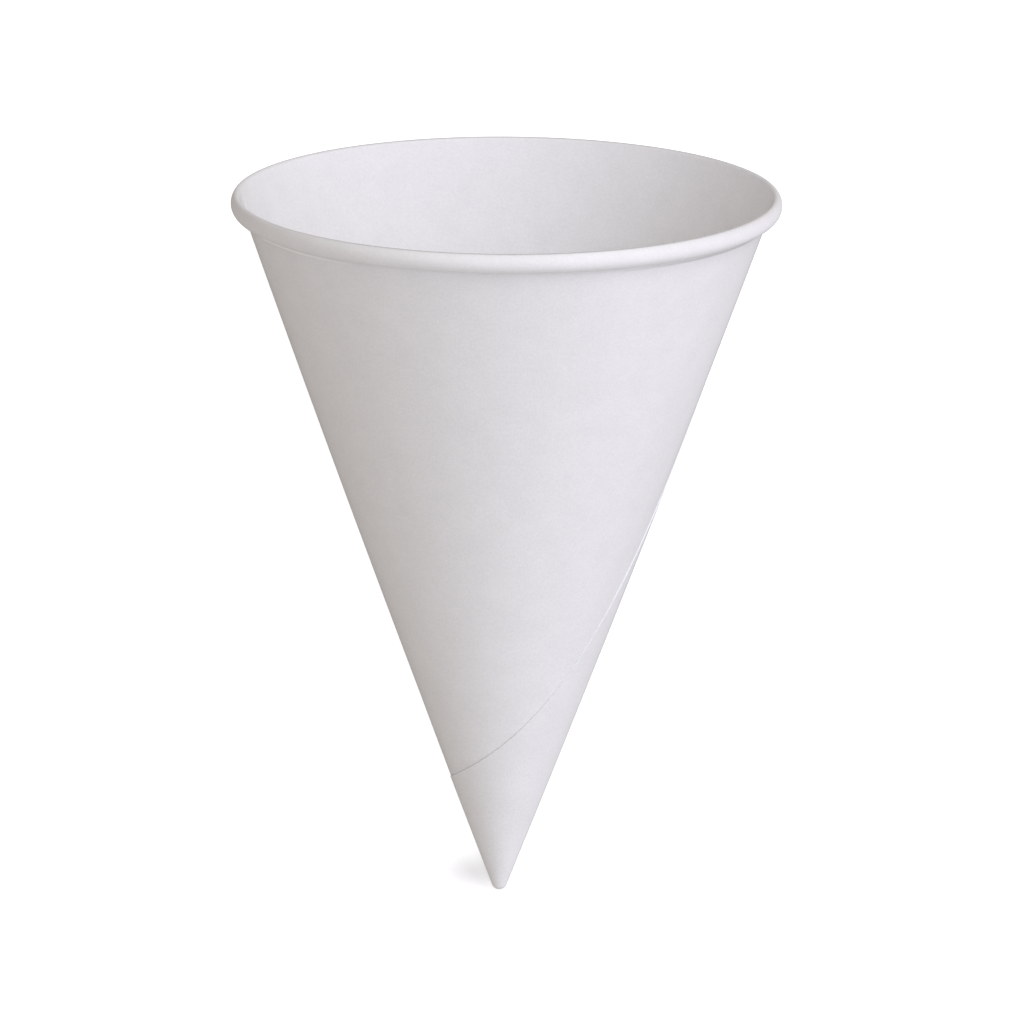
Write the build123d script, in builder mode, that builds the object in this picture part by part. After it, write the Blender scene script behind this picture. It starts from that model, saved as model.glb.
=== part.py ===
from build123d import *
from math import acos, asin, atan2, cos, degrees, radians, sin, tan
import os

# Cone paper cup: one paper blank wound into a cone, with its mouth curled outwards into a bead.
# It is drawn upright on its own axis, tip down, then laid on its side as it comes to rest.
# Azimuths are degrees about the cup's axis, and slants are distances from the wall's apex.
# Offsets are distances outwards from the middle of the inner ply.

# Whole cup
mouth_diameter = 74.0  # over the bead
height = 97.0  # tip to the top of the bead, along the axis
paper = 0.16  # one ply
tip_radius = 1.1  # outside of the closed tip, over both plies

# Bead: the wall turns over outwards through three arcs and ends tucked against itself
crown_radius = 0.40  # over the lip, to the middle of the ply
side_radius = 1.24  # down the bead's outer face, to the middle of the ply
crown_turn = 110.0
side_turn = 105.0
curl_clearance = 0.10  # air between the tucked end and a doubled wall
tuck_length = 0.8

# Lap: the blank's long cut edge is straight on the flat blank, and winds up the cone's outside
seam_reach = 17.8  # slant at which that edge passes nearest the apex
seam_nearest = 137.5  # azimuth at which it would do so
blank_start = 180.0  # azimuth of the short cut edges, inside and out
ramp_turn = 4.0  # degrees in which a ply comes down past the edge under it
edge_height = 6.0  # below this the plies are pressed together and no edge shows

# Cutting shapes
cut_past = 3 * paper  # how far they reach past the paper's faces
seam_past = 6.0  # degrees by which the seam's cut runs on past both ends
seam_steps = 48

# Offsets of the plies' faces
inner_face = -paper / 2
ply_face = paper / 2
lap_face = 1.5 * paper

# The curl's last arc is as large as leaves the tucked end clear of a doubled wall.
side_end = crown_turn + side_turn
crown_cos = cos(radians(crown_turn))
side_cos = cos(radians(side_end))
curl_reach = crown_radius * (1 - crown_cos) + side_radius * (crown_cos - side_cos)
foot_radius = (curl_reach - 2 * paper - curl_clearance) / (1 - side_cos)


def spoke(turn, lean):
    """Unit vector from an arc's centre to the ply once the ply has turned so far."""
    angle = radians(turn + lean)
    return Vector(-cos(angle), sin(angle))


def side_centre(lean):
    """Centre of the bead's outer face, from the crown's centre."""
    return (crown_radius - side_radius) * spoke(crown_turn, lean)


def crown_centre(lean):
    """Centre of the crown that brings the bead to the cup's diameter and height."""
    bead_reach = side_centre(lean).X + side_radius + paper / 2
    return Vector(mouth_diameter / 2 - bead_reach, height - crown_radius - paper / 2)


# The wall is tangent to the tip's round and to the crown's, and its lean settles in a few rounds.
tip_centre = Vector(0, tip_radius)
tip_middle = tip_radius - lap_face
lean = 20.0
for _ in range(12):
    span = crown_centre(lean) - tip_centre
    lean = degrees(atan2(span.X, span.Y) - asin((tip_middle + crown_radius) / span.length))

outward = spoke(180, lean)
upward = spoke(90, lean)
crown = crown_centre(lean)
side = crown + side_centre(lean)
foot = side + (side_radius - foot_radius) * spoke(side_end, lean)
apex_height = tip_radius - tip_middle / sin(radians(lean))
mouth_slant = (crown - crown_radius * outward - Vector(0, apex_height)).length


def ply_points(offset, tuck):
    """Points where one face of a ply passes from the tip to the wall, each arc and the tuck."""
    return [
        tip_centre + (tip_middle + offset) * outward,
        crown - (crown_radius - offset) * outward,
        crown + (crown_radius - offset) * spoke(crown_turn, lean),
        side + (side_radius - offset) * spoke(side_end, lean),
        foot - (foot_radius - offset) * outward,
        foot - (foot_radius - offset) * outward + tuck * upward,
    ]


def ply_face_line(offset, tuck_run):
    """One face of a ply from the tip's pole to the tucked end, inside a BuildLine."""
    wall, lip, shoulder, heel, tuck, end = ply_points(offset, tuck_run)
    pole = tip_centre - Vector(0, tip_middle + offset)
    tip_mid = tip_centre + (tip_middle + offset) * spoke(225 - lean / 2, lean)
    lip_mid = crown + (crown_radius - offset) * spoke(crown_turn / 2, lean)
    side_mid = side + (side_radius - offset) * spoke(crown_turn + side_turn / 2, lean)
    foot_mid = foot + (foot_radius - offset) * spoke((side_end + 360) / 2, lean)
    ThreePointArc(pole, tip_mid, wall)
    Line(wall, lip)
    ThreePointArc(lip, lip_mid, shoulder)
    ThreePointArc(shoulder, side_mid, heel)
    ThreePointArc(heel, foot_mid, tuck)
    Line(tuck, end)
    return pole, end


def wall_point(slant, azimuth, offset):
    """Point on the wall at a slant and an azimuth, off the middle of the inner ply."""
    radius = slant * sin(radians(lean)) + offset * cos(radians(lean))
    level = apex_height + slant * cos(radians(lean)) - offset * sin(radians(lean))
    return Vector(radius * cos(radians(azimuth)), radius * sin(radians(azimuth)), level)


def wall_spot(level, azimuth, offset):
    """Plan position of a point on the wall at a height above the tip."""
    radius = (level - apex_height) * tan(radians(lean)) + offset / cos(radians(lean))
    return Vector(radius * cos(radians(azimuth)), radius * sin(radians(azimuth)))


def seam_slant(azimuth):
    """Slant of the long cut edge, a straight line on the flat blank, at an azimuth."""
    return seam_reach / cos(radians((azimuth - seam_nearest) * sin(radians(lean))))


def ply(inner, outer, tuck, start=0, turn=360):
    """Paper between two faces, from the tip to the tucked end, wound through so many degrees."""
    with BuildPart() as wound:
        with BuildSketch(Plane.XZ.rotated((0, 0, start))):
            with BuildLine():
                inner_pole, inner_end = ply_face_line(inner, tuck)
                outer_pole, outer_end = ply_face_line(outer, tuck)
                Line(inner_pole, outer_pole)
                Line(inner_end, outer_end)
            make_face()
        revolve(axis=Axis.Z, revolution_arc=turn)
    return wound.part


def strip(bottom, top, spots):
    """Solid between the same spots on the wall at two heights."""
    with BuildPart() as lofted:
        for level in (bottom, top):
            with BuildSketch(Plane.XY.offset(level)):
                with BuildLine():
                    Polyline([wall_spot(level, *spot) for spot in spots], close=True)
                make_face()
        loft(ruled=True)
    return lofted.part


# The long edge winds back from under the bead, where it ends, to the blank's start.
seam_top = mouth_slant - side_radius
seam_half_turn = degrees(acos(seam_reach / seam_top)) / sin(radians(lean))
seam_turn = seam_nearest + seam_half_turn - blank_start


def seam_line(offset):
    """The long cut edge, run on past both of its ends, on one face of the paper."""
    start = blank_start - seam_past
    turn = seam_turn + 2 * seam_past
    azimuths = [start + turn * i / seam_steps for i in range(seam_steps + 1)]
    return Spline([wall_point(seam_slant(azimuth), azimuth, offset) for azimuth in azimuths])


# Above the long edge the paper is single, so the outer ply there is taken away.
margin = curl_clearance / 2
second_ply = ply(ply_face, lap_face + margin, tuck_length + margin, blank_start, seam_turn)
seam_cut = Face.make_surface_from_curves(seam_line(0), seam_line(lap_face + 2 * margin))
with BuildPart() as bare_side:
    add(second_ply)
    split(bisect_by=seam_cut, keep=Keep.BOTH)
above_seam = bare_side.part.solids().sort_by(Axis.Z)[-1]

# The outer ply comes down to the wall where the blank starts, and the inner ply ends in a step.
wall_top = apex_height + mouth_slant * cos(radians(lean)) - paper
ramp_start = blank_start - ramp_turn
outer_ramp = strip(
    edge_height,
    wall_top,
    [
        (ramp_start, lap_face),
        (blank_start, ply_face),
        (blank_start, cut_past),
        (ramp_start, cut_past),
    ],
)
inner_step = strip(
    edge_height,
    wall_top,
    [
        (ramp_start, ply_face),
        (blank_start, inner_face),
        (blank_start, -cut_past),
        (ramp_start, -cut_past),
    ],
)

double_paper = ply(inner_face, lap_face, tuck_length)
with BuildPart() as upright_cup:
    add(double_paper)
    add(above_seam, mode=Mode.SUBTRACT)
    add(outer_ramp, mode=Mode.SUBTRACT)
    add(inner_step, mode=Mode.SUBTRACT)

# The cup lies on its bead and its tip, on the side that the doubled paper makes heavier.
heavy = upright_cup.part.center(CenterOf.MASS)
heavy_side = degrees(atan2(heavy.Y, heavy.X))
bead_skin = side_radius + paper / 2
rest_span = side - tip_centre
rest_lean = degrees(
    atan2(rest_span.X, rest_span.Y) + asin((bead_skin - tip_radius) / rest_span.length)
)
resting = upright_cup.part.rotate(Axis.Z, 90 - heavy_side).rotate(Axis.X, rest_lean - 90)
box = resting.bounding_box()
with BuildPart() as cone_cup:
    add(resting.translate((-box.center().X, -box.center().Y, -box.min.Z)))

os.makedirs("parts", exist_ok=True)
cone_cup.part.label = "cone_cup"
export_step(cone_cup.part, "parts/cone_cup.step")
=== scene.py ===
"""Cone paper cup: the wound and rolled paper, its finish, and a pale studio to show it in."""

from math import acos, asin, atan2, cos, pi, radians, sin

import bpy
from mathutils import Matrix, Vector


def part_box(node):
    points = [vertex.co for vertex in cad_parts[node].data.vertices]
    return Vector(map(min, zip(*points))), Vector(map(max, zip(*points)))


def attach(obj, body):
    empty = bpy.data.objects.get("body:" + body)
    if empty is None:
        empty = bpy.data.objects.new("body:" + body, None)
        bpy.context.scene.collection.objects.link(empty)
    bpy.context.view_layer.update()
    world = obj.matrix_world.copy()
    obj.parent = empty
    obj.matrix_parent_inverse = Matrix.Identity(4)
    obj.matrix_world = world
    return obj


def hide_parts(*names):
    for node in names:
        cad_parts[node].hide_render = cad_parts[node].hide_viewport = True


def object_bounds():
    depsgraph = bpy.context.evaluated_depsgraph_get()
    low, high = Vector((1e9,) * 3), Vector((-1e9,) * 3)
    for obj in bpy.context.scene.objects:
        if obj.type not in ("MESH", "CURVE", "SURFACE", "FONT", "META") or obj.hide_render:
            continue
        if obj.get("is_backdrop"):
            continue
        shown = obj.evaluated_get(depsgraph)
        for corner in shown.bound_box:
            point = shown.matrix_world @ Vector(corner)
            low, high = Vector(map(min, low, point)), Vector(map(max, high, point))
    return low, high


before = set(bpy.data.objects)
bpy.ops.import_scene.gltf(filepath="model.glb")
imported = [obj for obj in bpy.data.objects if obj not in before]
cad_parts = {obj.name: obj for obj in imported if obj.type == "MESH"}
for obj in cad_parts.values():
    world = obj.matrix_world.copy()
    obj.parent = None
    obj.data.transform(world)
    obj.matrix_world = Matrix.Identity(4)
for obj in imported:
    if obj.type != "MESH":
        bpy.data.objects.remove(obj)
cad_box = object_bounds()

bl_info = {
    "name": "Cone Paper Cup",
    "version": (1, 0, 0),
    "blender": (4, 5, 0),
    "location": "View3D > Sidebar > Cone Cup",
    "description": "Winds a paper cone cup with a rolled rim and sets it in a pale studio",
    "category": "Add Mesh",
}

CUP_NODE = "cone_cup"

# Lengths are in metres. Azimuths turn about the cup's own axis, slants run up the wall from its
# apex, and offsets run outwards from the middle of the inner ply.
STATION_VALUES = ("outer", "below", "above", "share", "raw", "past_seam", "slant", "rolled")
WINDING_SIZES = (
    "Paper", "Height", "Wall Start", "Wall End", "Seam Reach", "Pressed Slant", "Tip Aside", "Swell",
    "Lean", "Seam Nearest", "Seam End", "Blank Start", "Ramp Turn", "Heavy Turn", "Rest Turn",
)
WINDING_COLUMNS = ("Seam Columns", "Lap Columns", "Ramp Columns")
INNER_FACE = -0.5  # in paper thicknesses
OUTER_FACE = 1.5  # in paper thicknesses, where the wall is doubled
PRESSED_FADE = 12  # paper thicknesses over which a short edge fades into the pressed tip
RIM_LINE_DROP = 6  # paper thicknesses from the rolled rim's foot down to the line under it
FIRST_LEAN = radians(20)
LEAN_ROUNDS = 12
EDGE_FOLD = radians(35)  # an edge folded by more than this is sharp
ALL_CORNERS = 0.99  # a face's mean of a value that is 1 at every corner is over this
EITHER_COLUMN = 0.75  # columns from the middle of two neighbours, to take both
WELD_DISTANCE = 1e-7
LEAST_FACES = 1000  # a wound cup has more faces than this

# The painted shade at a grazing view over the rolled rim, in bends of the rim counted from the lip's
# inside: what it rises over, what it falls over, and where it ends
SHADED_RISE = 0.25
SHADED_FALL = 0.5
SHADED_END = 1.5

# How far each mark of painted shade and painted highlight covers the sheet's colour
CREASE_SHADE_COVER = 0.28
GROOVE_SHADE_COVER = 0.5
RAW_EDGE_HIGHLIGHT_COVER = 0.6
SEAM_HIGHLIGHT_COVER = 0.5
# The groove just above the seam and the groove under the rim get painted shade in this colour
PAINTED_SHADE_SHARE = 0.45  # colour of the crease and the sunk line, as a share of the sheet's

# The line under the rim, across the mouth from -1 on one side to 1 on the other: where its ridge with
# a painted highlight and its groove with painted shade start to show, and where they are full
HIGHLIT_RIDGE_SPAN = (-0.5, -0.75)
SHADED_GROOVE_SPAN = (0.4, 0.733)

# Painted shade at a grazing view: how sharply it comes, and how much less of it the rim's sides have
LIP_SHARPNESS = 1.5
WALL_SHARPNESS = 16
LIP_SIDE_LOSS = 0.85

# Heights in the sheet's relief, as shares of its depth
RELIEF_SHARES = {
    "grain": 0.55, "fibres": 0.2, "clouds": 0.6, "highlit_ridge": 0.6, "shaded_groove": -1.5, "shaded_crease": -1.0,
}
STRAND_SIZE = 3.5  # times the grain's size
STRAND_THINNESS = 14  # the fibres are finer with a greater number
GRAIN_ROUGHNESS = 0.12
CLOUD_ROUGHNESS = 0.08
SHEET_GLOSS = 0.35
FLOOR_ROUGHNESS = 0.9
BLACK = (0, 0, 0, 1)
WHITE = (1, 1, 1, 1)

CAMERA_CLIP = 10
LIGHT_DISTANCE = 1.2
LIGHT_SIZE = 0.7
LIGHT_WATTS = 10
# Each light's name, the setting of its strength, the side it stands on, as seen by the camera
# (right, up, towards), and its colour
STUDIO_LIGHTS = (
    ("key", "key_strength", (0.7, 0.6, 0.8), (0.90, 0.91, 1.0)),
    ("overhead", "overhead_strength", (0.0, 0.0, 1.0), (0.64, 0.73, 1.0)),
    ("side", "side_strength", (0.8, -0.7, 0.4), (0.73, 0.79, 1.0)),
)
FLOOR_REACH = 3

# Middle of the painted shadow beside the tip, aside from the tip and towards the mouth
SHADOW_ASIDE = -0.0042
SHADOW_ALONG = 0.0022


class CupSizes(bpy.types.PropertyGroup):
    """Sizes of the wound cup"""

    mouth_diameter: bpy.props.FloatProperty(
        name="Mouth", description="Diameter over the rolled rim", default=0.074, subtype="DISTANCE"
    )
    height: bpy.props.FloatProperty(
        name="Height", description="Tip to rim, along the axis", default=0.097, subtype="DISTANCE"
    )
    paper: bpy.props.FloatProperty(
        name="Paper", description="Thickness of one ply",
        default=0.00016, precision=5, subtype="DISTANCE"
    )
    tip_radius: bpy.props.FloatProperty(
        name="Tip", description="Radius of the closed tip's outside",
        default=0.001, subtype="DISTANCE"
    )
    crown_radius: bpy.props.FloatProperty(
        name="Rim Crown", description="Bend over the lip", default=0.0004, subtype="DISTANCE"
    )
    side_radius: bpy.props.FloatProperty(
        name="Rim Side", description="Bend down the rim's outer face",
        default=0.0015, subtype="DISTANCE"
    )
    crown_turn: bpy.props.FloatProperty(
        name="Crown Turn", description="How far the crown turns",
        default=radians(120), subtype="ANGLE"
    )
    side_turn: bpy.props.FloatProperty(
        name="Side Turn", description="How far the rim's side turns",
        default=radians(105), subtype="ANGLE"
    )
    curl_clearance: bpy.props.FloatProperty(
        name="Curl Clearance", description="Air behind the tucked end",
        default=0.0001, subtype="DISTANCE"
    )
    tuck_length: bpy.props.FloatProperty(
        name="Tuck", description="Straight end inside the rim", default=0.0008, subtype="DISTANCE"
    )
    seam_reach: bpy.props.FloatProperty(
        name="Seam Reach", description="Slant where the long edge is lowest",
        default=0.0178, subtype="DISTANCE"
    )
    seam_nearest: bpy.props.FloatProperty(
        name="Seam Nearest", description="Azimuth of that place",
        default=radians(137.5), subtype="ANGLE"
    )
    blank_start: bpy.props.FloatProperty(
        name="Blank Start", description="Azimuth of the short edges",
        default=radians(180), subtype="ANGLE"
    )
    ramp_turn: bpy.props.FloatProperty(
        name="Ramp", description="Turn in which a ply comes down",
        default=radians(4), subtype="ANGLE"
    )
    edge_height: bpy.props.FloatProperty(
        name="Pressed Height", description="No short edge shows below this",
        default=0.006, subtype="DISTANCE"
    )
    tip_aside: bpy.props.FloatProperty(
        name="Tip Aside", description="How far the tip leans aside",
        default=0.0005, subtype="DISTANCE"
    )
    swell: bpy.props.FloatProperty(
        name="Swell", description="How much wider than a straight cone it gets towards the tip",
        default=0.042
    )
    heavy_turn: bpy.props.FloatProperty(
        name="Heavy Side", description="Turn that brings the doubled side down",
        default=radians(2.09), subtype="ANGLE"
    )
    seam_columns: bpy.props.IntProperty(
        name="Seam Columns", description="Mesh columns beside the seam", default=190
    )
    lap_columns: bpy.props.IntProperty(
        name="Lap Columns", description="Mesh columns on the doubled side", default=165
    )
    ramp_columns: bpy.props.IntProperty(
        name="Ramp Columns", description="Mesh columns in the ramp", default=6
    )


class PaperLook(bpy.types.PropertyGroup):
    """Finish of the paper"""

    colour: bpy.props.FloatVectorProperty(
        name="Paper", description="Colour of the sheet",
        default=(0.80, 0.80, 0.815), subtype="COLOR"
    )
    # Colour of the painted highlight on the cut edges and in the band below the seam
    edge_highlight_colour: bpy.props.FloatVectorProperty(
        name="Cut Edge", description="Colour of a cut edge",
        default=(0.93, 0.93, 0.94), subtype="COLOR"
    )
    roughness: bpy.props.FloatProperty(
        name="Roughness", description="Roughness of the sheet", default=0.72, subtype="FACTOR"
    )
    relief: bpy.props.FloatProperty(
        name="Relief", description="Depth of the grain",
        default=0.00003, precision=6, subtype="DISTANCE"
    )
    grain_tone: bpy.props.FloatProperty(
        name="Grain Tone", description="How far the grain darkens the sheet", default=0.14
    )
    cloud_tone: bpy.props.FloatProperty(
        name="Cloud Tone", description="How far the pulp's patches darken it", default=0.08
    )
    fibre_tone: bpy.props.FloatProperty(
        name="Fibre Tone", description="How far single fibres darken it", default=0.015
    )
    # Painted shade over this width above the seam
    seam_shadow: bpy.props.FloatProperty(
        name="Seam Shadow", description="Width of the crease above the seam", default=0.00015,
        precision=6, subtype="DISTANCE",
    )
    # Painted highlight over this width below the seam
    seam_highlight_width: bpy.props.FloatProperty(
        name="Seam Burr", description="Width of the pale line below the seam", default=0.00014,
        precision=6, subtype="DISTANCE",
    )
    rim_line_width: bpy.props.FloatProperty(
        name="Rim Line", description="Half width of the line pressed under the rim",
        default=0.00025,
        precision=6, subtype="DISTANCE",
    )
    # Painted shade at a grazing view, over the rolled rim and over the wall
    lip_grazing_shade: bpy.props.FloatProperty(
        name="Rolled Edge", description="How far the rolled rim darkens at a grazing view",
        default=0.8
    )
    wall_grazing_shade: bpy.props.FloatProperty(
        name="Wall Edge", description="How far the wall darkens at a grazing view", default=0.4
    )
    grain_size: bpy.props.FloatProperty(
        name="Grain", description="Size of the surface grain",
        default=0.00035, precision=5, subtype="DISTANCE"
    )
    cloud_size: bpy.props.FloatProperty(
        name="Clouds", description="Size of the uneven patches in the pulp",
        default=0.004, subtype="DISTANCE"
    )


class StudioLook(bpy.types.PropertyGroup):
    """Camera, lights and floor"""

    camera_distance: bpy.props.FloatProperty(
        name="Camera Distance", description="Camera to the cup's middle",
        default=1.5, subtype="DISTANCE"
    )
    camera_lift: bpy.props.FloatProperty(
        name="Camera Lift", description="Angle above the rim's plane",
        default=radians(14.19), subtype="ANGLE"
    )
    camera_roll: bpy.props.FloatProperty(
        name="Camera Roll", description="Turn of the picture",
        default=radians(0.32), subtype="ANGLE"
    )
    focal_length: bpy.props.FloatProperty(
        name="Focal Length", description="In millimetres", default=390.0, subtype="NONE"
    )
    aim_aside: bpy.props.FloatProperty(
        name="Aim Aside", description="Aim to the right of the cup's middle",
        default=0.00095, subtype="DISTANCE"
    )
    aim_above: bpy.props.FloatProperty(
        name="Aim Above", description="Aim above the cup's middle",
        default=0.00437, subtype="DISTANCE"
    )
    key_strength: bpy.props.FloatProperty(
        name="Key", description="Strength of the key light", default=0.745
    )
    overhead_strength: bpy.props.FloatProperty(
        name="Overhead", description="Strength of the light from the camera's side", default=0.401
    )
    side_strength: bpy.props.FloatProperty(
        name="Side", description="Strength of the low side light", default=0.275
    )
    room_strength: bpy.props.FloatProperty(
        name="Room", description="Strength of the light all round", default=0.55
    )
    room_colour: bpy.props.FloatVectorProperty(
        name="Room Colour", description="Colour of that light",
        default=(1.0, 0.90, 0.745), subtype="COLOR"
    )
    floor_colour: bpy.props.FloatVectorProperty(
        name="Floor", description="Colour of the floor", default=(0.55, 0.55, 0.56), subtype="COLOR"
    )
    floor_glow: bpy.props.FloatProperty(
        name="Floor Glow", description="How far the floor is washed out to white", default=0.76
    )
    # The floor's glow is less about a place beside the tip: a painted shadow that deepens the tip's
    # own shadow
    painted_shadow_dip: bpy.props.FloatProperty(
        name="Glow Dip", description="How much less it is washed out beside the tip", default=0.34
    )
    painted_shadow_reach: bpy.props.FloatVectorProperty(
        name="Dip Reach", description="How far that place reaches",
        default=(0.0085, 0.0042, 1.0), subtype="XYZ"
    )


# ---- the cup's section, from its sizes ----


class Section:
    """Half-section of the rolled paper, as points across (x) and up (y) from the tip"""

    def __init__(self, cup):
        self.cup = cup
        self.paper = cup.paper
        self.tip_middle = cup.tip_radius - OUTER_FACE * cup.paper
        self.tip_centre = Vector((0, cup.tip_radius))
        side_end = cup.crown_turn + cup.side_turn
        curl_reach = cup.crown_radius * (1 - cos(cup.crown_turn))
        curl_reach += cup.side_radius * (cos(cup.crown_turn) - cos(side_end))
        self.foot_radius = (curl_reach - 2 * cup.paper - cup.curl_clearance) / (1 - cos(side_end))
        self.side_end = side_end

        # The wall's lean and the rim's place depend on each other, and settle in a few rounds.
        self.lean = FIRST_LEAN
        for _ in range(LEAN_ROUNDS):
            span = self.crown_centre() - self.tip_centre
            aside = asin((self.tip_middle + cup.crown_radius) / span.length)
            self.lean = atan2(span.x, span.y) - aside
        self.outward = self.spoke(pi)
        self.upward = self.spoke(pi / 2)
        self.crown = self.crown_centre()
        self.side = self.crown + self.side_centre()
        self.foot = self.side + (cup.side_radius - self.foot_radius) * self.spoke(side_end)
        self.apex = cup.tip_radius - self.tip_middle / sin(self.lean)
        self.wall_start = (self.tip_centre + self.tip_middle * self.outward - self.apex_point()).length
        self.wall_end = (self.crown - cup.crown_radius * self.outward - self.apex_point()).length

    def spoke(self, turn):
        """Direction from an arc's centre to the ply once the ply has turned so far."""
        angle = turn + self.lean
        return Vector((-cos(angle), sin(angle)))

    def side_centre(self):
        """Centre of the rim's outer face, from the crown's centre."""
        return (self.cup.crown_radius - self.cup.side_radius) * self.spoke(self.cup.crown_turn)

    def crown_centre(self):
        """Centre of the crown that brings the rim to the cup's diameter and height."""
        reach = self.side_centre().x + self.cup.side_radius + self.paper / 2
        level = self.cup.height - self.cup.crown_radius - self.paper / 2
        return Vector((self.cup.mouth_diameter / 2 - reach, level))

    def apex_point(self):
        """Where the wall's lines would meet, below the round tip."""
        return Vector((0, self.apex))

    def rim_line_slant(self):
        """Slant of the line that the rolling tool presses into the wall under the rim."""
        return self.wall_end - self.rim_depth() - RIM_LINE_DROP * self.paper

    def rim_depth(self):
        """How far down the wall the rolled rim reaches from the lip."""
        return (self.crown - self.foot).dot(self.upward) + self.foot_radius + self.paper / 2

    def seam_top(self):
        """Slant at which the long edge goes in under the rim."""
        return self.wall_end - self.cup.side_radius

    def seam_end(self):
        """Azimuth at which the long edge goes in under the rim."""
        half_turn = acos(self.cup.seam_reach / self.seam_top()) / sin(self.lean)
        return self.cup.seam_nearest + half_turn

    def rest_lean(self):
        """Rise of the axis above the floor when the cup lies on its rim and its tip."""
        span = self.side - self.tip_centre
        skin = self.cup.side_radius + self.paper / 2
        return atan2(span.x, span.y) + asin((skin - self.cup.tip_radius) / span.length)

    def tip_line(self, steps):
        """Middle of the inner ply round the tip, from the pole to the wall."""
        for step in range(steps):
            turn = pi * 1.5 - self.lean - (pi / 2 - self.lean) * step / steps
            spoke = self.spoke(turn)
            yield self.tip_centre + self.tip_middle * spoke, spoke

    def bend(self, centre, radius, start, turn, steps):
        """Middle of the ply round one bend of the rim."""
        for step in range(steps):
            spoke = self.spoke(start + turn * step / steps)
            yield centre + radius * spoke, -spoke

    def rim_line(self, steps):
        """Middle of the ply round the rolled rim, from the lip to the tucked end."""
        cup = self.cup
        yield from self.bend(self.crown, cup.crown_radius, 0, cup.crown_turn, steps)
        yield from self.bend(self.side, cup.side_radius, cup.crown_turn, cup.side_turn, steps)
        foot_turn = 2 * pi - self.side_end
        yield from self.bend(self.foot, self.foot_radius, self.side_end, foot_turn, steps)
        tuck = self.foot - self.foot_radius * self.outward
        yield tuck, self.outward
        yield tuck + cup.tuck_length * self.upward, self.outward


def section_mesh(section, tip_steps=12, wall_steps=28, rim_steps=18):
    """Half-section as loose points: out over the outer face, and back over the inner one."""
    tip = list(section.tip_line(tip_steps))
    rim = list(section.rim_line(rim_steps))
    shares = [step / wall_steps for step in range(wall_steps + 1)]
    apex = section.apex_point()
    wall_length = section.wall_end - section.wall_start
    slants = [section.wall_start + share * wall_length for share in shares[:-1]]
    wall = [(apex + slant * section.upward, section.outward, slant) for slant in slants]

    stations = [{"place": place, "out": out, "outer": 1} for place, out in tip]
    for side, seam_share in (("below", 1), ("above", 0)):
        for share in shares:
            station = {"place": apex, "out": section.outward, "outer": 1, side: 1, "share": share}
            station["raw"] = share == seam_share
            station["past_seam"] = side == "above"
            stations.append(station)
    stations += [{"place": place, "out": out, "outer": 1, "past_seam": 1} for place, out in rim[1:]]
    for step, (place, out) in reversed(list(enumerate(rim))):
        bends = step / rim_steps
        rolled = min(1, bends / SHADED_RISE, (SHADED_END - bends) / SHADED_FALL)
        stations.append({"place": place, "out": out, "rolled": max(0, rolled)})
    stations += [{"place": place, "out": out, "slant": slant} for place, out, slant in reversed(wall)]
    stations += [{"place": place, "out": out} for place, out in reversed(tip)]

    mesh = bpy.data.meshes.new("cup_section")
    mesh.from_pydata([(station["place"].x, 0, station["place"].y) for station in stations], [], [])
    outs = mesh.attributes.new("out", "FLOAT_VECTOR", "POINT")
    for item, station in zip(outs.data, stations):
        item.vector = (station["out"].x, 0, station["out"].y)
    for name in STATION_VALUES:
        values = mesh.attributes.new(name, "FLOAT", "POINT")
        for item, station in zip(values.data, stations):
            item.value = station.get(name, 0)
    return mesh


# ---- node trees ----


class Number:
    """A number in a node tree: arithmetic on it adds Math nodes"""

    def __init__(self, tree, socket):
        self.tree = tree
        self.socket = socket

    def math(self, operation, *others):
        made = node(self.tree, "ShaderNodeMath", self, *others, operation=operation)
        return Number(self.tree, made.outputs[0])

    def __add__(self, other):
        return self.math("ADD", other)

    def __radd__(self, other):
        return self.math("ADD", other)

    def __sub__(self, other):
        return self.math("SUBTRACT", other)

    def __rsub__(self, other):
        return self.math("MULTIPLY", -1).math("ADD", other)

    def __mul__(self, other):
        return self.math("MULTIPLY", other)

    def __rmul__(self, other):
        return self.math("MULTIPLY", other)

    def __truediv__(self, other):
        return self.math("DIVIDE", other)

    def __pow__(self, other):
        return self.math("POWER", other)

    def over(self, other):
        """1 where this number is greater than the other, and 0 elsewhere."""
        return self.math("GREATER_THAN", other)

    def blend(self, low, high):
        """From low to high as this number goes from 0 to 1."""
        return self * (high - low) + low

    def clamp(self):
        """Held between 0 and 1."""
        return self.math("MAXIMUM", 0.0).math("MINIMUM", 1.0)

    def fade(self, start, end):
        """0 up to the start, 1 from the end on, and even between them."""
        return ((self - start) / (end - start)).clamp()


def connect(tree, plug, value):
    """Links a value into an input, or sets it there if it is a plain one."""
    if isinstance(value, Number):
        value = value.socket
    if isinstance(value, bpy.types.NodeSocket):
        tree.links.new(value, plug)
    else:
        plug.default_value = value


def node(tree, kind, *ordered, named=None, **settings):
    """A new node with its settings, and its inputs filled in order and by name."""
    made = tree.nodes.new(kind)
    for name, setting in settings.items():
        setattr(made, name, setting)
    for plug, value in zip([plug for plug in made.inputs if plug.enabled], ordered):
        connect(tree, plug, value)
    for name, value in (named or {}).items():
        plug = next(plug for plug in made.inputs if plug.name == name and plug.enabled)
        connect(tree, plug, value)
    return made


def numbers(tree, made):
    """The node's outputs as numbers."""
    return [Number(tree, socket) for socket in made.outputs if socket.enabled]


def keep_value(tree, geometry, name, value, domain="POINT", data_type="FLOAT"):
    """Stores a value on the geometry under a name."""
    named = {"Geometry": geometry, "Name": name, "Value": value}
    made = node(
        tree, "GeometryNodeStoreNamedAttribute", named=named, data_type=data_type, domain=domain
    )
    return made.outputs[0]


def face_average(tree, value):
    """A value of the points, which a face takes as the mean of its corners."""
    made = node(tree, "GeometryNodeFieldOnDomain", value, data_type="FLOAT", domain="POINT")
    return Number(tree, made.outputs[0])


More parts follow.
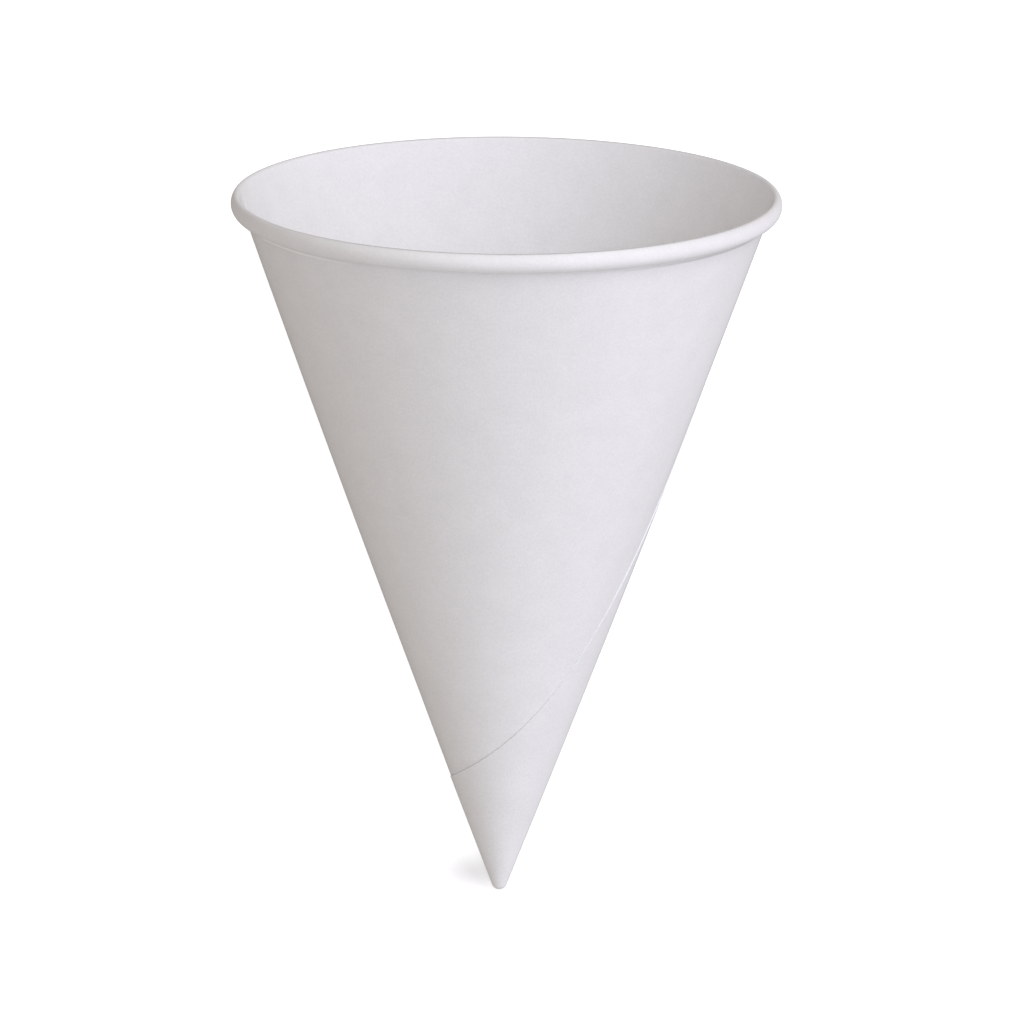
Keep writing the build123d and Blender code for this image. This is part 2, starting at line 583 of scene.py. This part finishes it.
def winding_tree():
    """Winds a half-section round the axis, with a step along the seam and at each short edge."""
    tree = bpy.data.node_groups.new("Wind Cone Cup", "GeometryNodeTree")
    tree.is_modifier = True
    tree.interface.new_socket("Section", in_out="INPUT", socket_type="NodeSocketGeometry")
    for name in WINDING_SIZES:
        tree.interface.new_socket(name, in_out="INPUT", socket_type="NodeSocketFloat")
    for name in WINDING_COLUMNS:
        tree.interface.new_socket(name, in_out="INPUT", socket_type="NodeSocketInt")
    tree.interface.new_socket("Paper Finish", in_out="INPUT", socket_type="NodeSocketMaterial")
    tree.interface.new_socket("Cup", in_out="OUTPUT", socket_type="NodeSocketGeometry")

    given = {socket.name: socket for socket in node(tree, "NodeGroupInput").outputs}
    size = {name: Number(tree, given[name]) for name in WINDING_SIZES}
    seam_columns, lap_columns, ramp_columns = (Number(tree, given[name]) for name in WINDING_COLUMNS)
    section = given["Section"]

    # A grid with a column of stations for each azimuth round the cup
    counted = node(tree, "GeometryNodeAttributeDomainSize", section, component="MESH")
    stations = Number(tree, counted.outputs["Point Count"])
    first_lap = seam_columns + 1
    first_ramp = first_lap + lap_columns + 1
    last_ramp = first_ramp + ramp_columns
    grid = node(
        tree, "GeometryNodeMeshGrid", named={"Vertices X": last_ramp + 2, "Vertices Y": stations}
    )
    index = Number(tree, node(tree, "GeometryNodeInputIndex").outputs[0])
    column = ((index + 0.5) / stations).math("FLOOR")
    station = index - column * stations

    def sampled(value, data_type="FLOAT"):
        """A value of the half-section at this vertex's station."""
        named = {"Geometry": section, "Value": value, "Index": station}
        return node(tree, "GeometryNodeSampleIndex", named=named, data_type=data_type).outputs[0]

    def stored(name, data_type="FLOAT"):
        """A named value of the half-section at this vertex's station."""
        made = node(tree, "GeometryNodeInputNamedAttribute", name, data_type=data_type)
        return sampled(made.outputs[0], data_type)

    position = node(tree, "GeometryNodeInputPosition").outputs[0]
    place = numbers(tree, node(tree, "ShaderNodeSeparateXYZ", sampled(position, "FLOAT_VECTOR")))
    out = numbers(tree, node(tree, "ShaderNodeSeparateXYZ", stored("out", "FLOAT_VECTOR")))
    on_station = {name: Number(tree, stored(name)) for name in STATION_VALUES}
    outer = on_station["outer"]
    below = on_station["below"]
    above = on_station["above"]

    # The columns run from the blank's start along the seam, over the lap and down the ramp.
    in_lap = column.over(seam_columns + 0.5)
    in_ramp = column.over(first_ramp - 0.5)
    closing = column.over(last_ramp + 0.5)
    seam_share = (column / seam_columns).clamp()
    lap_share = ((column - first_lap) / lap_columns).clamp()
    ramp_share = ((column - first_ramp) / ramp_columns).clamp()
    seam_azimuth = seam_share.blend(size["Blank Start"], size["Seam End"])
    ramp_start = size["Blank Start"] + 2 * pi - size["Ramp Turn"]
    azimuth = seam_azimuth + (ramp_start - size["Seam End"]) * lap_share
    azimuth = azimuth + size["Ramp Turn"] * ramp_share
    beside_seam = 1 - in_lap + closing
    down_ramp = in_ramp - closing

    # The long edge is a straight line on the flat blank.
    lean_sine = size["Lean"].math("SINE")
    lean_cosine = size["Lean"].math("COSINE")

    def seam_slant(at):
        """Slant of the long edge at an azimuth."""
        return size["Seam Reach"] / ((at - size["Seam Nearest"]) * lean_sine).math("COSINE")

    seam = lap_share.blend(seam_slant(seam_azimuth), seam_slant(size["Blank Start"]))
    below_slant = on_station["share"].blend(size["Wall Start"], seam)
    above_slant = on_station["share"].blend(seam, size["Wall End"])
    wall_slant = below * below_slant + above * above_slant
    slant = wall_slant + on_station["slant"]

    # The outer face is a ply lower past the seam, and both faces move where a ply comes down.
    pressed = ((slant - size["Pressed Slant"]) / (size["Paper"] * PRESSED_FADE)).clamp()
    outer_drop = beside_seam * on_station["past_seam"] + down_ramp * ramp_share * pressed
    outer_offset = size["Paper"] * (OUTER_FACE - outer_drop)
    inner_offset = size["Paper"] * (down_ramp * (1 - ramp_share) * pressed + INNER_FACE)
    offset = outer.blend(inner_offset, outer_offset)

    # Turned about the axis, with the wall's soft swell and the tip's small lean.
    across = place[0] + wall_slant * lean_sine + offset * out[0]
    up = place[2] + wall_slant * lean_cosine + offset * out[2]
    under_lip = 1 - up / size["Height"]
    across = across * (size["Swell"] * under_lip + 1)
    along_x = across * azimuth.math("COSINE") - size["Tip Aside"] * under_lip
    along_y = across * azimuth.math("SINE")
    wound = node(tree, "ShaderNodeCombineXYZ", along_x, along_y, up).outputs[0]
    named = {"Geometry": grid.outputs["Mesh"], "Position": wound}
    shape = node(tree, "GeometryNodeSetPosition", named=named).outputs[0]

    # What the finish reads: the place on the wall, and which faces are cut edges.
    on_wall = outer * (below + above)
    from_seam = (on_wall * beside_seam).blend(1.0, slant - seam)
    raw_edge = face_average(tree, on_station["raw"] * beside_seam).over(ALL_CORNERS)
    for first in (seam_columns, first_ramp - 1, last_ramp):
        either = (column - first - 0.5).math("ABSOLUTE").math("LESS_THAN", EITHER_COLUMN)
        raw_edge = raw_edge.math("MAXIMUM", face_average(tree, either).over(ALL_CORNERS))
    shape = keep_value(tree, shape, "slant", on_wall * slant)
    shape = keep_value(tree, shape, "from_seam", from_seam)
    shape = keep_value(tree, shape, "rolled", on_station["rolled"])
    shape = keep_value(tree, shape, "raw_edge", raw_edge, domain="FACE")

    # One closed skin, sharp only at its cut edges.
    named = {"Geometry": shape, "Distance": WELD_DISTANCE}
    shape = node(tree, "GeometryNodeMergeByDistance", named=named).outputs[0]
    fold = numbers(tree, node(tree, "GeometryNodeInputMeshEdgeAngle"))[0]
    shape = keep_value(tree, shape, "sharp_edge", fold.over(EDGE_FOLD), "EDGE", "BOOLEAN")

    # Laid on its doubled side.
    for turn in ((0.0, 0.0, size["Heavy Turn"]), (size["Rest Turn"], 0.0, 0.0)):
        angles = node(tree, "ShaderNodeCombineXYZ", *turn).outputs[0]
        named = {"Geometry": shape, "Rotation": angles}
        shape = node(tree, "GeometryNodeTransform", named=named).outputs[0]
    shape = node(tree, "GeometryNodeRealizeInstances", shape).outputs[0]
    named = {"Geometry": shape, "Material": given["Paper Finish"]}
    shape = node(tree, "GeometryNodeSetMaterial", named=named).outputs[0]
    node(tree, "NodeGroupOutput", shape)
    return tree


# ---- finishes ----


def new_finish(name):
    """A material with an empty tree, its shader and its output."""
    finish = bpy.data.materials.new(name)
    finish.use_nodes = True
    tree = finish.node_tree
    tree.nodes.clear()
    shader = tree.nodes.new("ShaderNodeBsdfPrincipled")
    output = tree.nodes.new("ShaderNodeOutputMaterial")
    tree.links.new(shader.outputs[0], output.inputs["Surface"])
    return finish, tree, shader


def attribute(tree, name):
    """A number stored on the mesh."""
    made = node(tree, "ShaderNodeAttribute", attribute_name=name)
    return Number(tree, made.outputs["Fac"])


def noise(tree, place, size, detail, roughness=0.5, distortion=0.0):
    """Soft noise about 0.5, with features of about a size."""
    named = {
        "Vector": place,
        "Scale": 1 / size,
        "Detail": detail,
        "Roughness": roughness,
        "Distortion": distortion,
    }
    return Number(tree, node(tree, "ShaderNodeTexNoise", named=named).outputs["Fac"])


def colour_mix(tree, share, low, high):
    """From one colour to another as a share goes from 0 to 1."""
    made = node(tree, "ShaderNodeMix", data_type="RGBA")
    connect(tree, made.inputs["Factor"], share)
    plugs = [plug for plug in made.inputs if plug.type == "RGBA"]
    for plug, colour in zip(plugs, (low, high)):
        connect(tree, plug, colour)
    return next(socket for socket in made.outputs if socket.type == "RGBA")


def paper_finish(look, section):
    """Uncoated paper: fine grain, faint pulp clouds and fibres, and its seam and pressed line, with
    painted shade and highlights along them and painted shade at a grazing view.
    """
    finish, tree, shader = new_finish("cup_paper")
    place = node(tree, "ShaderNodeTexCoord").outputs["Object"]
    clouds = noise(tree, place, look.cloud_size, detail=3.0) - 0.5
    grain = noise(tree, place, look.grain_size, detail=2.0, roughness=0.6) - 0.5
    strand_size = look.grain_size * STRAND_SIZE
    strands = noise(tree, place, strand_size, detail=2.0, roughness=0.55, distortion=1.6) - 0.5
    fibres = (1 - strands.math("ABSOLUTE") * STRAND_THINNESS).clamp()

    slant = attribute(tree, "slant")
    from_seam = attribute(tree, "from_seam")
    raw_edge = attribute(tree, "raw_edge")
    above_edge = from_seam.over(0)
    # The groove just above the seam: a groove in the relief, with painted shade over it
    shaded_crease = (1 - from_seam / look.seam_shadow).clamp() * above_edge
    # The band just below the seam, which gets a painted highlight
    seam_highlight_band = (1 + from_seam / look.seam_highlight_width).clamp() * (1 - above_edge)
    from_line = ((slant - section.rim_line_slant()) / look.rim_line_width).math("ABSOLUTE")
    rim_line = (1 - from_line).clamp()

    # The line under the rim fades over the front and the back. On one side of the cup it is a ridge
    # with a painted highlight, and on the other a groove with painted shade.
    across = Number(tree, node(tree, "ShaderNodeSeparateXYZ", place).outputs["X"])
    side = across / (section.cup.mouth_diameter / 2)
    highlit_ridge = rim_line * side.fade(*HIGHLIT_RIDGE_SPAN)
    shaded_groove = rim_line * side.fade(*SHADED_GROOVE_SPAN)

    # Painted shade at a grazing view: the colour darkens towards black, most of all over the lip at
    # the front and back.
    facing = Number(tree, node(tree, "ShaderNodeLayerWeight", named={"Blend": 0.5}).outputs["Facing"])
    rolled = attribute(tree, "rolled")
    lip_shade = facing ** LIP_SHARPNESS * (1 - side * side * LIP_SIDE_LOSS) * look.lip_grazing_shade
    grazing = rolled.blend(facing ** WALL_SHARPNESS * look.wall_grazing_shade, lip_shade)

    # The sheet's colour times 1 plus the tone, with the painted shade and painted highlights laid over
    # it.
    tone = clouds * look.cloud_tone + grain * look.grain_tone - fibres * look.fibre_tone
    sheet = colour_mix(tree, (tone + 0.5).clamp(), shade(look.colour, 0.5), shade(look.colour, 1.5))
    # Painted shade in the groove just above the seam and in the groove under the rim
    dark = (shaded_crease * CREASE_SHADE_COVER).math("MAXIMUM", shaded_groove * GROOVE_SHADE_COVER)
    sheet = colour_mix(tree, dark, sheet, shade(look.colour, PAINTED_SHADE_SHARE))
    # Painted highlight on the cut edges and in the band below the seam
    pale = (raw_edge * RAW_EDGE_HIGHLIGHT_COVER).math("MAXIMUM", seam_highlight_band * SEAM_HIGHLIGHT_COVER)
    sheet = colour_mix(tree, pale, sheet, (*look.edge_highlight_colour, 1))
    # Painted highlight along the line under the rim, on one side of the cup
    sheet = colour_mix(tree, highlit_ridge, sheet, WHITE)
    # Painted shade at a grazing view
    sheet = colour_mix(tree, grazing, sheet, BLACK)
    tree.links.new(sheet, shader.inputs["Base Color"])

    roughness = (look.roughness + grain * GRAIN_ROUGHNESS + clouds * CLOUD_ROUGHNESS).clamp()
    connect(tree, shader.inputs["Roughness"], roughness)
    shader.inputs["Specular IOR Level"].default_value = SHEET_GLOSS

    marks = {
        "grain": grain, "fibres": fibres, "clouds": clouds,
        "highlit_ridge": highlit_ridge, "shaded_groove": shaded_groove, "shaded_crease": shaded_crease,
    }
    height = sum(marks[name] * share for name, share in RELIEF_SHARES.items())
    named = {"Strength": 1.0, "Distance": look.relief, "Height": height}
    bump = node(tree, "ShaderNodeBump", named=named)
    tree.links.new(bump.outputs[0], shader.inputs["Normal"])
    return finish


def floor_finish(look, painted_shadow_middle):
    """A pale floor, washed out to white, and less so about a place beside the tip, where a painted
    shadow deepens the tip's own shadow.
    """
    finish, tree, shader = new_finish("studio_floor")
    shader.inputs["Base Color"].default_value = (*look.floor_colour, 1)
    shader.inputs["Roughness"].default_value = FLOOR_ROUGHNESS
    shader.inputs["Specular IOR Level"].default_value = 0.0
    seen = Number(tree, node(tree, "ShaderNodeLightPath").outputs["Is Camera Ray"])
    place = node(tree, "ShaderNodeTexCoord").outputs["Object"]
    aside = node(tree, "ShaderNodeVectorMath", place, tuple(painted_shadow_middle), operation="SUBTRACT").outputs[0]
    reach = tuple(look.painted_shadow_reach)
    share = node(tree, "ShaderNodeVectorMath", aside, reach, operation="DIVIDE").outputs[0]
    apart = node(tree, "ShaderNodeVectorMath", share, operation="LENGTH").outputs["Value"]
    near = (1 - Number(tree, apart)).clamp()
    smooth = near * near * (3 - 2 * near)
    shader.inputs["Emission Color"].default_value = WHITE
    # Painted shadow: the glow is less about the place beside the tip
    glow = look.floor_glow - smooth * look.painted_shadow_dip
    connect(tree, shader.inputs["Emission Strength"], seen * glow)
    return finish


def shade(colour, factor):
    """A colour made darker or lighter, with full alpha."""
    return (*(channel * factor for channel in colour), 1)


# ---- operators ----


def cup_pose(section, cup):
    """From the cup's own upright frame to where it lies."""
    low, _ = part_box(CUP_NODE)
    rest = section.rest_lean()
    along = low[1] + cup.tip_radius * (1 - cos(rest))
    lift = cup.tip_radius * (1 - sin(rest))
    turn = Matrix.Rotation(rest - pi / 2, 4, "X") @ Matrix.Rotation(cup.heavy_turn, 4, "Z")
    return Matrix.Translation((0, along, lift)) @ turn


class CUP_OT_wind(bpy.types.Operator):
    """Wind the paper cup, roll its rim and give it its finish"""

    bl_idname = "cone_cup.wind"
    bl_label = "Wind Paper Cup"

    def execute(self, context):
        cup = context.scene.cone_cup_sizes
        section = Section(cup)
        values = {
            "Paper": cup.paper,
            "Height": cup.height,
            "Wall Start": section.wall_start,
            "Wall End": section.wall_end,
            "Seam Reach": cup.seam_reach,
            "Pressed Slant": (cup.edge_height - section.apex) / cos(section.lean),
            "Tip Aside": cup.tip_aside,
            "Swell": cup.swell,
            "Lean": section.lean,
            "Seam Nearest": cup.seam_nearest,
            "Seam End": section.seam_end(),
            "Blank Start": cup.blank_start,
            "Ramp Turn": cup.ramp_turn,
            "Heavy Turn": cup.heavy_turn,
            "Rest Turn": section.rest_lean() - pi / 2,
            "Seam Columns": cup.seam_columns,
            "Lap Columns": cup.lap_columns,
            "Ramp Columns": cup.ramp_columns,
            "Paper Finish": paper_finish(context.scene.cone_cup_paper, section),
        }
        drawn = bpy.data.objects.new("cup_section", section_mesh(section))
        context.collection.objects.link(drawn)
        modifier = drawn.modifiers.new("Wind", "NODES")
        modifier.node_group = winding_tree()
        for item in modifier.node_group.interface.items_tree:
            if item.in_out == "INPUT" and item.name in values:
                modifier[item.identifier] = values[item.name]
        evaluated = drawn.evaluated_get(context.evaluated_depsgraph_get())
        skin = bpy.data.meshes.new_from_object(evaluated)
        bpy.data.objects.remove(drawn)
        if len(skin.polygons) < LEAST_FACES:
            raise RuntimeError("the winding tree made no cup")

        pose = cup_pose(section, cup)
        skin.transform(Matrix.Translation(pose.translation))
        skin.name = "wound_cup"
        wound = bpy.data.objects.new("wound_cup", skin)
        context.collection.objects.link(wound)
        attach(wound, "root")
        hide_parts(CUP_NODE)
        return {"FINISHED"}


class CUP_OT_stage(bpy.types.Operator):
    """Lay the floor and set the lights and the camera"""

    bl_idname = "cone_cup.stage"
    bl_label = "Set Studio"

    def execute(self, context):
        cup = context.scene.cone_cup_sizes
        look = context.scene.cone_cup_studio
        section = Section(cup)
        pose = cup_pose(section, cup)
        middle = pose @ Vector((0, 0, cup.height / 2))
        turn = pose.to_quaternion()

        # The picture's right and up, and the way towards the camera
        towards = turn @ Vector((0, -cos(look.camera_lift), sin(look.camera_lift)))
        right = turn @ Vector((1, 0, 0))
        upright = towards.cross(right)
        facing = Matrix((right, upright, towards)).transposed()

        camera = bpy.data.objects.new("camera", bpy.data.cameras.new("camera"))
        camera.data.lens = look.focal_length
        camera.data.clip_end = CAMERA_CLIP
        camera.location = middle + towards * look.camera_distance
        camera.location += right * look.aim_aside + upright * look.aim_above
        roll = Matrix.Rotation(look.camera_roll, 3, "Z")
        camera.rotation_euler = (facing @ roll).to_euler()
        context.collection.objects.link(camera)
        context.scene.camera = camera

        for name, strength, side, colour in STUDIO_LIGHTS:
            lamp = bpy.data.lights.new(name, "AREA")
            lamp.shape = "SQUARE"
            lamp.size = LIGHT_SIZE
            lamp.energy = getattr(look, strength) * LIGHT_WATTS
            lamp.color = colour
            light = bpy.data.objects.new(name, lamp)
            away = (facing @ Vector(side)).normalized()
            light.location = middle + away * LIGHT_DISTANCE
            light.rotation_euler = away.to_track_quat("Z", "Y").to_euler()
            context.collection.objects.link(light)

        world = bpy.data.worlds.new("studio_room")
        world.use_nodes = True
        background = world.node_tree.nodes["Background"]
        background.inputs["Color"].default_value = (*look.room_colour, 1)
        background.inputs["Strength"].default_value = look.room_strength
        context.scene.world = world
        context.scene.view_settings.view_transform = "Standard"

        ground = bpy.data.meshes.new("studio_floor")
        reach = FLOOR_REACH
        corners = [(-reach, -reach, 0), (reach, -reach, 0), (reach, reach, 0), (-reach, reach, 0)]
        ground.from_pydata(corners, [], [(0, 1, 2, 3)])
        beside_tip = Vector((SHADOW_ASIDE, pose.translation.y + SHADOW_ALONG, 0))
        ground.materials.append(floor_finish(look, beside_tip))
        floor = bpy.data.objects.new("studio_floor", ground)
        context.collection.objects.link(floor)
        floor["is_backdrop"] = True
        return {"FINISHED"}


class CUP_PT_panel(bpy.types.Panel):
    """Sizes, finish and studio of the cone cup"""

    bl_idname = "CUP_PT_panel"
    bl_label = "Cone Paper Cup"
    bl_space_type = "VIEW_3D"
    bl_region_type = "UI"
    bl_category = "Cone Cup"

    def draw(self, context):
        for settings in ("cone_cup_sizes", "cone_cup_paper", "cone_cup_studio"):
            group = getattr(context.scene, settings)
            box = self.layout.box()
            for name in group.bl_rna.properties.keys():
                if name not in ("rna_type", "name"):
                    box.prop(group, name)
        for operator in (CUP_OT_wind, CUP_OT_stage):
            self.layout.operator(operator.bl_idname)


GROUPS = {"cone_cup_sizes": CupSizes, "cone_cup_paper": PaperLook, "cone_cup_studio": StudioLook}
CLASSES = (*GROUPS.values(), CUP_OT_wind, CUP_OT_stage, CUP_PT_panel)


def register():
    for cls in CLASSES:
        bpy.utils.register_class(cls)
    for name, group in GROUPS.items():
        setattr(bpy.types.Scene, name, bpy.props.PointerProperty(type=group))


def unregister():
    for name in GROUPS:
        delattr(bpy.types.Scene, name)
    for cls in reversed(CLASSES):
        bpy.utils.unregister_class(cls)


def main():
    register()
    bpy.ops.cone_cup.wind()
    bpy.ops.cone_cup.stage()
    boxes = {"cad": cad_box, "visual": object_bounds()}
    sizes = {name: [list(corner) for corner in box] for name, box in boxes.items()}


if __name__ == "__main__":
    main()
